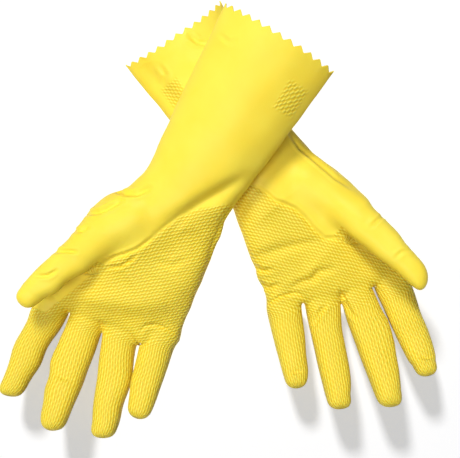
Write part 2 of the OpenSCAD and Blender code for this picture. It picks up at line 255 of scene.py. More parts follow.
def ballRings(a, b, radiusA, radiusB):
    a, b = np.array(a), np.array(b)
    along = (b - a) / np.linalg.norm(b - a)
    across = np.cross(along, unitZ)
    across /= np.linalg.norm(across)
    above = np.cross(across, along)
    rings = []
    end = ballRound["degrees"]
    for centre, radius, low, high in ((a, radiusA, -end, 0), (b, radiusB, 0, end)):
        for turn in np.radians(np.linspace(low, high, ballRound["rings"])):
            half = radius * math.cos(turn)
            rings.append(ringAt(centre + along * radius * math.sin(turn), across, above, half, half))
    return rings


# one closed skin over the tubes, as even quads one grain of the film wide
def castSkin(side):
    verts, faces = [], []
    addTube(verts, faces, trunkRings(side))
    lines = {name: digitLine(side, name) for name in digitNames}
    for name in digitNames[1:]:
        addTube(verts, faces, digitRings(lines[name], sunken["finger"]))
    addTube(verts, faces, digitRings(lines["thumb"], sunken["thumb"]))
    low, high = [((*place, radius), radius) for place, radius in thumbShape["ball"]]
    addTube(verts, faces, ballRings(low[0], high[0], low[1], high[1]))
    addTube(verts, faces, ballRings(high[0], thumbShape["root"], high[1], thumbShape["rootW"] / 2))
    mesh = bpy.data.meshes.new(side + "Tubes")
    mesh.from_pydata(verts, [], faces)
    obj = bpy.data.objects.new(side + "Tubes", mesh)
    scene.collection.objects.link(obj)
    remesh = obj.modifiers.new("skin", "REMESH")
    remesh.mode = "VOXEL"
    remesh.voxel_size = film["grain"]
    made = bpy.data.meshes.new_from_object(obj.evaluated_get(bpy.context.evaluated_depsgraph_get()))
    bpy.data.objects.remove(obj)
    return made, lines


def coordsOf(mesh):
    co = np.empty(len(mesh.vertices) * 3)
    mesh.vertices.foreach_get("co", co)
    return co.reshape(-1, 3)


def edgesOf(mesh):
    pairs = np.empty(len(mesh.edges) * 2, int)
    mesh.edges.foreach_get("vertices", pairs)
    return pairs.reshape(-1, 2)


def neighbourMean(co, pairs):
    here = pairs.ravel()
    there = pairs[:, ::-1].ravel()
    total = [np.bincount(here, co[there, axis], len(co)) for axis in range(3)]
    return np.stack(total, 1) / np.maximum(np.bincount(here, minlength=len(co)), 1)[:, None]


pullIn, pushOut = 0.5, -0.52  # shares of the way from a point to the mean of its neighbours


# rounds of smoothing that reach this many mm
def roundsFor(reach):
    return max(1, round((reach / film["grain"]) ** 2))


# smoothing that keeps the size: each round pulls in and pushes out again
def relax(co, pairs, reach):
    for _ in range(roundsFor(reach)):
        for pull in (pullIn, pushOut):
            co = co + (neighbourMean(co, pairs) - co) * pull
    return co


def soften(co, pairs, reach, amount):
    for _ in range(roundsFor(reach)):
        co = co + (neighbourMean(co, pairs) - co) * pullIn * amount[:, None]
    return co


# nearest place on each digit: length from the root, distance as a share of the half width, and turn round it
def digitPlaces(co, lines):
    places = {}
    for name, line in lines.items():
        keep = line["s"] >= -sunken["seen"]
        s, centre = line["s"][keep], line["place"][keep]
        best = np.full(len(co), 1e9)
        nearest = np.zeros(len(co), int)
        for k in range(len(s)):
            d = ((co - centre[k]) ** 2).sum(1)
            closer = d < best
            best[closer] = d[closer]
            nearest[closer] = k
        away = co - centre[nearest]
        beyond = (away * line["along"][keep][nearest]).sum(1)
        side = away @ line["across"]
        up = (away * line["above"][keep][nearest]).sum(1)
        share = np.sqrt(best) / line["halfW"][keep][nearest]
        places[name] = {"s": s[nearest] + beyond * (nearest == len(s) - 1), "share": share,
                        "turn": np.arctan2(side, up), "halfW": line["halfW"][keep][nearest]}
    return places


# the sides of the flattened forearm are creased to an edge, most at the cuff
def creaseForearm(side, co):
    turn = forearmTurn(side)
    own = co @ turn
    share = -own[:, 1] / forearm["length"]
    halfW, halfT = forearmHalf(share)
    lens = forearm["lens"] * smoothStep(share)
    flatness = np.clip(1.0 - (own[:, 0] / halfW) ** 2, 0.0, 1.0) ** (lens / 2)
    middle = halfT * palm["flat"]
    own[:, 2] = np.where(share > 0, middle + (own[:, 2] - middle) * flatness, own[:, 2])
    return own @ turn.T


def normalsOf(mesh):
    normals = np.empty(len(mesh.vertices) * 3)
    mesh.vertex_normals.foreach_get("vector", normals)
    return normals.reshape(-1, 3)


def setCoords(mesh, co):
    mesh.vertices.foreach_set("co", co.astype(np.float32).ravel())
    mesh.update()


# distance to a line of points, and how far along the line the nearest place is, from 0 to 1
def lineDistance(points, line):
    line = np.asarray(line, float)
    steps = np.diff(line, axis=0)
    lengths = np.linalg.norm(steps, axis=1)
    before = np.concatenate([[0], np.cumsum(lengths)])
    best = np.full(len(points), 1e9)
    along = np.zeros(len(points))
    sign = np.ones(len(points))
    for k, step in enumerate(steps):
        away = points - line[k]
        t = np.clip(away @ step / (lengths[k] ** 2), 0, 1)
        d = np.linalg.norm(away - t[:, None] * step, axis=1)
        closer = d < best
        best[closer] = d[closer]
        along[closer] = (before[k] + t[closer] * lengths[k]) / before[-1]
        sign[closer] = np.sign(step[0] * away[closer, 1] - step[1] * away[closer, 0])
    return best, along, sign


# folds as the photograph shows them: zones of the film, width in pixels, depth and lip in mm, the side that
# has the lip (0 for both), and the fold's line in pixels
folds = {
    "right": [
        ("thumb", 2.2, 1.5, 0.6, 0, [(112, 189), (124, 194), (137, 194), (150, 188)]),
        ("thumb", 2.0, 1.5, 0.6, 0, [(84, 214), (100, 212), (112, 206), (122, 200)]),
        ("thumb", 1.8, 1.4, 0.4, 0, [(72, 231), (80, 231), (88, 227)]),
        ("thumb", 1.8, 1.4, 0.4, 0, [(53, 252), (64, 251), (77, 252)]),
        ("thumb", 1.8, 1.3, 0.4, 0, [(34, 276), (48, 276), (57, 270)]),
        ("palm", 1.8, 1.1, 0.3, 0, [(104, 263), (116, 257), (126, 254), (136, 250), (150, 240)]),
        ("palm", 2.6, 0.7, 0.0, 0, [(140, 248), (152, 238), (162, 229), (180, 216)]),
        ("palm", 1.7, 1.0, 0.4, 0, [(106, 268), (120, 267), (130, 261), (137, 253)]),
        ("palm", 7.0, 2.4, 0.0, 0, [(246, 178), (222, 194), (200, 206), (172, 222)]),
        ("palm", 12.0, 1.6, 0.0, 0, [(246, 184), (216, 198), (194, 212), (175, 224), (152, 240)]),
        ("palm", 24.0, 4.2, 0.0, 0, [(226, 218), (190, 240), (160, 262), (130, 284)]),
        ("palm", 11.0, -2.4, 0.0, 0, [(60, 286), (92, 297), (130, 303), (170, 303)]),
        ("palm", 3.0, 0.5, 0.2, 0, [(156, 263), (172, 269), (187, 262)]),
        ("palm", 4.0, -0.6, 0.0, 0, [(176, 236), (186, 229), (196, 234)]),
        ("palm little", 1.7, 1.2, 0.15, 1, [(140, 331), (146, 326), (156, 325), (168, 330), (180, 337)]),
        ("middle", 2.2, 0.6, 0.25, 0, [(55, 374), (63, 378), (72, 379)]),
        ("palm", 1.8, 0.5, 0.2, 0, [(216, 42), (226, 50), (231, 48)]),
    ],
    "left": [
        ("thumb", 1.9, 1.0, 0.4, 0, [(288, 130), (300, 148), (316, 161), (336, 178), (352, 188)]),
        ("thumb", 1.9, 0.7, 0.3, 0, [(384, 216), (378, 220), (372, 226)]),
        ("thumb", 1.8, 0.6, 0.3, 0, [(410, 250), (402, 252), (395, 258)]),
        ("palm", 2.2, 1.4, 0.35, -1,
         [(256, 187), (267, 194), (275, 201), (284, 204), (295, 209), (305, 218), (315, 230), (325, 239),
          (345, 238)]),
        ("palm", 22.0, 3.0, 0.0, 0, [(270, 210), (292, 236), (318, 264)]),
        ("palm", 5.0, 1.4, 0.0, 0, [(252, 258), (275, 252), (297, 247), (320, 242)]),
        ("palm", 3.4, 1.3, 0.2, 0, [(290, 289), (300, 283), (313, 280), (319, 273), (334, 269)]),
        ("palm", 2.2, 1.5, 0.4, 0, [(253, 266), (262, 271), (272, 270)]),
        ("palm", 2.2, 1.5, 0.4, 0, [(258, 283), (268, 288), (279, 285)]),
        ("palm", 1.9, 1.0, 0.4, 0, [(340, 289), (344, 300), (350, 312)]),
        ("middle", 2.0, 0.8, 0.4, 0, [(344, 300), (350, 312), (358, 320)]),
        ("ring", 2.4, 1.1, 0.4, 0, [(330, 296), (322, 309), (313, 328)]),
        ("palm little", 1.8, 1.6, 0.3, 1, [(266, 305), (280, 297), (297, 293), (305, 299)]),
        ("index", 1.8, 0.7, 0.3, 0, [(419, 356), (426, 358), (432, 357)]),
        ("little", 1.8, 0.7, 0.3, 0, [(289, 371), (295, 373), (301, 371)]),
        ("palm", 9.0, 1.7, 0.0, 0, [(139, 58), (159, 85), (186, 116)]),
        ("palm", 2.4, 1.0, 0.4, 0, [(184, 28), (194, 37), (205, 41)]),
        ("palm", 2.6, 0.6, 0.3, 0, [(156, 60), (163, 72), (161, 84)]),
    ]}

# where the worn film leaves the plain form in the photograph: x, y, the move and its reach, in pixels
outlineMoves = {
    "right": {
        "palm": [(212, 240, 4, 1, 16), (199, 275, 4.5, 1, 18), (184, 315, 3, 1, 14), (177, 336, 3.5, 0, 7),
                 (65, 323, 3, -7, 8), (100, 338, 1, -4, 8), (139, 333, 2, 11, 7), (75, 228, -1.5, -1.5, 14),
                 (30, 315, -2, 0, 12), (140, 184, -2, -2, 9), (112, 197, -1.5, -2, 9)],
        "thumb": [(13, 297, 5, -1, 10), (24, 311, 1, -5, 10), (18, 307, 3, -4, 8), (72, 289, -0.5, -4.5, 10),
                  (45, 306, 1, -5, 9)],
        "index": [(17, 345, -3.5, 0, 14), (49, 345, -4, 0, 12), (33, 380, -2, -1, 9), (12, 400, 0, -5.5, 11)],
        "middle": [(60, 340, -2.5, 0, 9), (53, 360, -6, 0, 10), (46, 387, -3.5, 0, 10), (41, 424, 2, -1, 8),
                   (53, 432, 0, -3, 9)],
        "ring": [(92, 425, 2.5, 0, 9), (103, 440, 1, -3.5, 9), (126, 380, 3, 0, 12), (119, 420, 1.5, 0, 8)],
        "little": [(134, 382, -2, 0, 8)]},
    "left": {
        "palm": [(345, 177, -2, 2, 10), (367, 200, 2.5, -2, 10), (380, 303, -7, -15, 8),
                 (344, 317, -2, -12, 8), (256, 268, 2, 0, 5), (264, 289, 2.5, 0, 5), (269, 299, 2, 0, 5),
                 (305, 148, 4, -2, 14)],
        "thumb": [(417, 278, 7, 11, 10), (424, 266, 2, 7, 8), (426, 256, -4, 2, 8), (410, 243, -2, 1.5, 10)],
        "index": [(427, 382, -1.5, -7.5, 11), (436, 370, -3.5, -3, 8), (416, 375, 0, -4, 8),
                  (430, 340, 2, 0, 12)],
        "middle": [(388, 322, 4.5, 0, 10), (396, 340, 6, 0, 12), (400, 365, 2, 0, 10), (390, 408, 0, -1.5, 8),
                   (403, 395, -2.5, 0, 7)],
        "ring": [(340, 413, 0, -5, 10), (352, 400, -3, -1, 8), (345, 330, -2, 0, 10), (330, 405, 0, -2, 8)],
        "little": [(308, 385, -2, 0, 8), (298, 388, 0, -1, 8)]}}


# where a digit's zone starts and how far it eases in, in mm from the root, and its reach in half widths
digitZone = {"thumb": -4.0, "finger": 0.0, "ease": 14.0, "reach": 1.5}


def moveField(pixels, moves):
    total = np.zeros_like(pixels)
    weight = np.zeros(len(pixels))
    for x, y, dx, dy, reach in moves:
        near = np.exp(-((pixels - [x, y]) ** 2).sum(1) / (2 * reach * reach))
        total += near[:, None] * [dx, dy]
        weight += near
    return total / np.maximum(weight, 1)[:, None]


def moveOutline(side, co, places, zone):
    turn, at = layOf(side)
    pair = co @ turn.T + at
    pixels = toPixels(pair)
    field = moveField(pixels, outlineMoves[side]["palm"])
    for k, name in enumerate(digitNames):
        ours = zone == k
        share = growFrom(places[name]["s"][ours], digitZone[kindOf(name)], digitZone["ease"])[:, None]
        field[ours] = field[ours] * (1 - share) + moveField(pixels[ours], outlineMoves[side][name]) * share
    scale = pixelSize(pair)
    move = np.stack([field[:, 0] * scale, -field[:, 1] * scale, np.zeros(len(co))], 1)
    return co + move @ turn


# the digit that each point belongs to, or -1 for the palm
def zoneOf(co, places):
    zone = np.full(len(co), -1)
    best = np.full(len(co), digitZone["reach"])
    for k, name in enumerate(digitNames):
        place = places[name]
        ours = (place["s"] > digitZone[kindOf(name)]) & (place["share"] < best)
        zone[ours] = k
        best[ours] = place["share"][ours]
    return zone


# the lip's place in widths of the fold, the upward lean of film that folds, and where a fold's ends run out
foldForm = {"scale": 1.4, "lipAt": 1.9, "lipSharpness": 1.4, "facing": (-0.1, 0.4), "end": 0.02}
thumbBall = {"minX": 8.0, "maxY": 66.0, "minZ": 22.0}  # the part of the palm that folds with the thumb


def addFolds(side, co, normals, zone):
    turn, at = layOf(side)
    pixels = toPixels(co @ turn.T + at)
    facing = growFrom((normals @ turn.T)[:, 2], *foldForm["facing"])
    x, y, z = co.T
    ball = (x > thumbBall["minX"]) & (y < thumbBall["maxY"]) & (z > thumbBall["minZ"])
    areas = {name: zone == k for k, name in enumerate(digitNames)}
    areas["palm"] = zone == -1
    areas["thumb"] = areas["thumb"] | (areas["palm"] & ball)
    move = np.zeros(len(co))
    for zones, width, depth, lip, lipSide, line in folds[side]:
        d, along, sign = lineDistance(pixels, line)
        here = np.any([areas[name] for name in zones.split()], 0)
        ends = np.sqrt(np.sin(math.pi * np.clip(along, foldForm["end"], 1 - foldForm["end"])))
        off = d / width
        raised = np.where(sign * lipSide < 0, 0.0, lip)
        lips = raised * np.exp(-((off - foldForm["lipAt"]) ** 2) * foldForm["lipSharpness"])
        shape = lips - depth * np.exp(-off * off)
        move += np.where(here, shape * ends * facing * foldForm["scale"], 0.0)
    return co + normals * move[:, None]


# slow unevenness of a dipped film, from a few crossing waves: radians per mm along x, y and z
uneven = {"depth": 0.35, "shift": 1.3, "waves": [(0.187, 0.119, 0.085), (-0.102, 0.221, 0.153),
                                                 (0.289, -0.085, 0.204), (0.085, 0.357, -0.136)]}


def addUnevenness(co, normals):
    wave = np.zeros(len(co))
    for k, turns in enumerate(uneven["waves"]):
        wave += np.sin(co @ np.array(turns) + uneven["shift"] * k)
    return co + normals * (wave * uneven["depth"] / len(uneven["waves"]))[:, None]


# cuts the forearm at the cuff and pinks its edge into teeth
def pinkCuff(side, mesh):
    turn = forearmTurn(side)
    edge = turn @ np.array([0, -forearm["length"], 0])
    bm = bmesh.new()
    bm.from_mesh(mesh)
    bmesh.ops.bisect_plane(bm, geom=bm.verts[:] + bm.edges[:] + bm.faces[:], dist=1e-5, plane_co=Vector(edge),
                           plane_no=Vector(turn @ np.array([0, -1.0, 0])), clear_outer=True)
    bm.to_mesh(mesh)
    bm.free()
    own = coordsOf(mesh) @ turn
    inside = own[:, 1] + forearm["length"]
    halfW = forearm["edgeW"] / 2
    u = np.clip(own[:, 0] / forearmHalf(-own[:, 1] / forearm["length"])[0], -1, 1)
    table = np.linspace(-1, 1, 400)
    profile = forearm["edgeT"] / 2 * (1 - table ** 2) ** ((1 + forearm["lens"]) / 2)
    reach = np.concatenate([[0], np.cumsum(np.hypot(np.diff(table) * halfW, np.diff(profile)))])
    reach = reach / reach[-1] * forearm["teeth"] / 2
    onTop = own[:, 2] > forearm["edgeT"] / 2 * palm["flat"]
    place = np.where(onTop, np.interp(u, table, reach), forearm["teeth"] - np.interp(u, table, reach))
    saw = 1 - np.abs((place % 1.0) * 2 - 1)
    near = np.clip(1 - inside / film["toothBand"], 0, 1)
    own[:, 1] += forearm["toothDepth"] * saw * near
    longer = np.interp(own[:, 2] / (forearm["edgeT"] * palm["flat"]), [0, 0.5, 1], lay[side]["edge"])
    own[:, 1] -= longer * np.clip(1 - inside / film["edgeBand"], 0, 1)
    setCoords(mesh, own @ turn.T)


# edge of the embossed grip towards the wrist and the thumb, in the photograph's pixels
gripEdge = {
    "right": [(60, 300), (96, 270), (110, 261), (126, 255), (136, 251), (146, 245), (154, 237), (163, 229),
              (180, 217), (200, 208), (224, 205), (250, 200)],
    "left": [(220, 166), (246, 180), (256, 187), (267, 194), (275, 201), (284, 204), (295, 209), (305, 218),
             (315, 230), (325, 239), (345, 238), (385, 262), (420, 290)]}
gripHeading = -2.0
gripRound = {"thumb": (-2.2, 0.8), "finger": (0.0, 1.9), "fade": 0.4}  # middle and half, in radians round it
gripChange = 12.0  # mm from a digit's root over which the palm's rows turn into ribs
# start and ease of the grip: pixels past its edge, upward lean of the film, mm from the wrist
gripStart = {"edge": (-1.0, 3.0), "facing": (0.02, 0.3), "wrist": (-18.0, 8.0)}
cuffPatch = {"right": (-25.6, -85.4), "left": (-22.0, -71.5), "half": (6.2, 7.4), "strength": 0.75,
             "fade": (0.8, 0.45), "facing": 0.2}


# where the film carries the embossed grip, and its place across and along the hand, with the share of ribs
def gripOf(side, co, normals, zone, places, lines):
    turn, at = layOf(side)
    d, _, sign = lineDistance(toPixels(co @ turn.T + at), gripEdge[side])
    mask = growFrom(d * sign, *gripStart["edge"])
    mask = mask * growFrom(normals[:, 2], *gripStart["facing"]) * growFrom(co[:, 1], *gripStart["wrist"])
    turn = turnZ(gripHeading)
    rows = co @ turn * [1, 1, 0]
    for k, name in enumerate(digitNames):
        ours = zone == k
        place = places[name]
        middle, half = gripRound[kindOf(name)]
        swing = (place["turn"] - middle + math.pi) % (2 * math.pi) - math.pi
        mask[ours] = (1 - growFrom(np.abs(swing), half, gripRound["fade"]))[ours]
        root = lines[name]["place"][np.searchsorted(lines[name]["s"], 0.0)] @ turn
        own = np.stack([root[0] + swing * place["halfW"], root[1] + place["s"], np.ones(len(co))], 1)
        share = smoothStep(place["s"] / gripChange)[ours, None]
        rows[ours] = rows[ours] * (1 - share) + own[ours] * share
    own = co @ forearmTurn(side)
    offX = np.abs(own[:, 0] - cuffPatch[side][0]) / cuffPatch["half"][0]
    offY = np.abs(own[:, 1] - cuffPatch[side][1]) / cuffPatch["half"][1]
    patch = 1 - growFrom(np.maximum(offX, offY), *cuffPatch["fade"])
    patch = patch * (normals[:, 2] > cuffPatch["facing"])
    return np.maximum(mask, patch * cuffPatch["strength"]), rows


def addAttribute(mesh, name, kind, values):
    layer = mesh.attributes.new(name, kind, "POINT")
    layer.data.foreach_set("value" if kind == "FLOAT" else "vector", values.astype(np.float32).ravel())


# reach of each smoothing in mm: the whole skin, the webs, the ball of the thumb, the tips and the folds
softness = {"skin": 3.4, "web": 4.5, "ball": 10.0, "tip": 2.6, "folds": 0.8}
# where they act: mm along a digit, half widths across it, and mm from the ball's middle line
softWeb = {"at": -4.0, "half": 12.0, "reach": 2.2, "fade": 0.8}
softBall = {"start": (12.0, 8.0), "reach": 34.0, "fade": 14.0, "thumbEnd": 8.0, "thumbFade": 10.0}
softTip = {"run": 12.0, "ease": 6.0}


# one finished film per glove: outer face, flocked inner face and the cut edge
def makeGlove(side):
    mesh, lines = castSkin(side)
    co, pairs = coordsOf(mesh), edgesOf(mesh)
    co = relax(co, pairs, softness["skin"])
    places = digitPlaces(co, lines)
    web = np.zeros(len(co))
    for place in places.values():
        atRoot = smoothStep(1 - np.abs(place["s"] - softWeb["at"]) / softWeb["half"])
        web = np.maximum(web, atRoot * smoothStep((softWeb["reach"] - place["share"]) / softWeb["fade"]))
    co = soften(co, pairs, softness["web"], web)
    ball = [place for place, radius in thumbShape["ball"]] + [thumbShape["root"][:2]]
    d, _, _ = lineDistance(co[:, :2], [softBall["start"], *ball])
    onBall = smoothStep((softBall["reach"] - d) / softBall["fade"])
    onBall = onBall * smoothStep((softBall["thumbEnd"] - places["thumb"]["s"]) / softBall["thumbFade"])
    co = soften(co, pairs, softness["ball"], onBall)
    co = creaseForearm(side, co)
    setCoords(mesh, co)
    zone = zoneOf(co, places)
    co = moveOutline(side, co, places, zone)
    tips, length = np.zeros(len(co)), np.zeros(len(co))
    for k, name in enumerate(digitNames):
        ours = zone == k
        length[ours] = places[name]["s"][ours]
        tips[ours] = smoothStep((length[ours] - lines[name]["length"] + softTip["run"]) / softTip["ease"])
    co = soften(co, pairs, softness["tip"], tips)
    co = addUnevenness(co, normalsOf(mesh))
    setCoords(mesh, co)
    co = addFolds(side, co, normalsOf(mesh), zone)
    co = relax(co, pairs, softness["folds"])
    co[:, 2] = np.maximum(co[:, 2], film["lowest"])
    setCoords(mesh, co)
    grip, rows = gripOf(side, co, normalsOf(mesh), zone, places, lines)
    addAttribute(mesh, "grip", "FLOAT", grip)
    addAttribute(mesh, "gripRows", "FLOAT_VECTOR", rows)
    addAttribute(mesh, "filmPlace", "FLOAT_VECTOR", co)
    addAttribute(mesh, "digit", "FLOAT", zone)
    addAttribute(mesh, "digitLength", "FLOAT", length)
    pinkCuff(side, mesh)
    setCoords(mesh, toPair(side, coordsOf(mesh)))
    if side == "left":
        mesh.flip_normals()
    obj = bpy.data.objects.new(side + "Film", mesh)
    scene.collection.objects.link(obj)
    mesh.materials.append(dippedLatex)
    mesh.materials.append(cottonFlock)
    wall = obj.modifiers.new("film", "SOLIDIFY")
    wall.thickness = film["thickness"] * mm
    wall.offset = -1.0
    wall.material_offset = 1
    wall.material_offset_rim = 0
    whole = bpy.data.meshes.new_from_object(obj.evaluated_get(bpy.context.evaluated_depsgraph_get()))
    bpy.data.objects.remove(obj)
    print(side, "glove formed:", len(whole.polygons), "faces")
    return whole, lines


def valuesOf(mesh, name, width):
    values = np.empty(len(mesh.vertices) * width, np.float32)
    mesh.attributes[name].data.foreach_get("value" if width == 1 else "vector", values)
    return values if width == 1 else values.reshape(-1, width)


# vertex of each corner, first corner and number of corners of each face
def cornersOf(mesh):
    corners = np.empty(len(mesh.loops), np.int32)
    mesh.loops.foreach_get("vertex_index", corners)
    starts = np.empty(len(mesh.polygons), np.int32)
    mesh.polygons.foreach_get("loop_start", starts)
    return corners, starts, np.diff(np.append(starts, len(corners)))


# a run of the film as its own object, with the normals of the whole so that no seam shows
def makePiece(name, whole, chosen, normals):
    corners, starts, totals = cornersOf(whole)
    sizes = totals[chosen]
    first = np.cumsum(sizes) - sizes
    picks = np.repeat(starts[chosen] - first, sizes) + np.arange(sizes.sum())
    used, flat = np.unique(corners[picks], return_inverse=True)
    mesh = bpy.data.meshes.new(name)
    mesh.vertices.add(len(used))
    mesh.loops.add(len(flat))
    mesh.polygons.add(len(chosen))
    mesh.vertices.foreach_set("co", coordsOf(whole)[used].astype(np.float32).ravel())
    mesh.loops.foreach_set("vertex_index", flat.astype(np.int32))
    mesh.polygons.foreach_set("loop_start", first.astype(np.int32))
    for key, width in (("grip", 1), ("gripRows", 3), ("filmPlace", 3)):
        addAttribute(mesh, key, "FLOAT" if width == 1 else "FLOAT_VECTOR", valuesOf(whole, key, width)[used])
    slots = np.empty(len(whole.polygons), np.int32)
    whole.polygons.foreach_get("material_index", slots)
    mesh.materials.append(dippedLatex)
    mesh.materials.append(cottonFlock)
    mesh.polygons.foreach_set("material_index", slots[chosen])
    mesh.polygons.foreach_set("use_smooth", np.ones(len(chosen), bool))
    mesh.update(calc_edges=True)
    mesh.normals_split_custom_set_from_vertices(normals[used])
    obj = bpy.data.objects.new(name, mesh)
    scene.collection.objects.link(obj)
    return obj


def blendAcross(obj):
    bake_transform(obj)


seamBack = {"root": 2.0, "knuckle": 3.0}  # mm from a bend back to the seam before it


# the film is divided where it stays rigid, between one bend and the next
def dividePieces(side, whole, lines):
    runs = []
    digit = valuesOf(whole, "digit", 1)
    length = valuesOf(whole, "digitLength", 1)
    normals = normalsOf(whole)
    corners, starts, _ = cornersOf(whole)
    lowest = np.minimum.reduceat(length[corners], starts)
    least = np.minimum.reduceat(digit[corners], starts)
    most = np.maximum.reduceat(digit[corners], starts)
    rest = np.ones(len(starts), bool)
    for k, name in enumerate(digitNames):
        line = lines[name]
        ours = (least == k) & (most == k)
        half = bends["length"] / 2
        seam = line["rootBend"] - half - seamBack["root"]
        tip = ours & (lowest > line["knuckle"] - half - seamBack["knuckle"])
        base = ours & (lowest > seam) & ~tip
        rest &= ~(tip | base)
        node = side + "_" + name
        piece = makePiece(node + "_root_film", whole, np.flatnonzero(base), normals)
        blendAcross(piece)
        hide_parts(node + "_root_flex", node + "_base")
        runs.append(piece)
        piece = makePiece(node + "_tip_film", whole, np.flatnonzero(tip), normals)
        blendAcross(piece)
        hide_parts(node + "_knuckle_flex", node + "_tip")
        runs.append(piece)
    piece = makePiece(side + "_hand_film", whole, np.flatnonzero(rest), normals)
    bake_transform(piece)
    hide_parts(side + "_cuff", side + "_wrist_flex", side + "_hand")
    bpy.data.meshes.remove(whole)
    print(side, "glove divided into its moving runs")
    return runs, piece


def linear(hexColour):
    values = [int(hexColour[i:i + 2], 16) / 255 for i in (1, 3, 5)]
    return tuple(v / 12.92 if v <= 0.04045 else ((v + 0.055) / 1.055) ** 2.4 for v in values) + (1.0,)


# adds a node: settings go to its properties or inputs, links come from other nodes' sockets
def addNode(tree, kind, settings=(), links=()):
    node = tree.nodes.new(kind)
    for key, value in dict(settings).items():
        if isinstance(key, int) or key in node.inputs:
            node.inputs[key].default_value = value
        else:
            setattr(node, key, value)
    for key, socket in dict(links).items():
        tree.links.new(socket, node.inputs[key])
    return node


def newMaterial(name):
    material = bpy.data.materials.new(name)
    material.use_nodes = True
    material.node_tree.nodes.clear()
    return material, material.node_tree


# natural latex, dipped: a satin skin, a little see-through, with the former's grip pattern moulded into it:
# slanting rows cut into ticks on the palm, ribs and their breaks on the fingers. The real ticks are about
# 1.5 mm apart, which a render of this size blurs away, so they are drawn this coarse
gripMm = {"row": 2.9, "rib": 1.9, "break": 4.4, "height": 0.36}
latexLook = {
    # the grip's grooves take the darker colour and its raised ticks and ribs the lighter one: painted shade
    # and painted highlight on the moulded relief
    "yellow": "#FADC42", "lit": "#FBE350", "paintedGrooveShade": "#E1B90E", "paintedRaisedHighlight": "#FFF264", "gripPaintedShading": 0.76,
    "waves": {  # turns of each wave per mm across and along the hand
        "row": (1 / gripMm["row"], -1 / gripMm["row"]), "rib": (1 / gripMm["rib"], 0.0),
        "break": (0.5 / gripMm["rib"], 1 / gripMm["break"])},
    "tickShare": 0.45, "stretchMm": 9.0, "drawnMm": 1.6, "mottleMm": 28.0, "pitMm": 0.9, "pitDepthMm": 0.05,
    "pitStrength": 0.25, "crown": (-0.4, 0.6),  # heights of the waves between which a tick rises
    "mottle": (0.3, 0.7), "roughness": (0.4, 0.54),
    "surface": {"IOR": 1.52, "Specular IOR Level": 0.16, "Subsurface Weight": 0.15,
                "Subsurface Radius": (1.0, 0.65, 0.12), "Subsurface Scale": 1.5 * mm}}


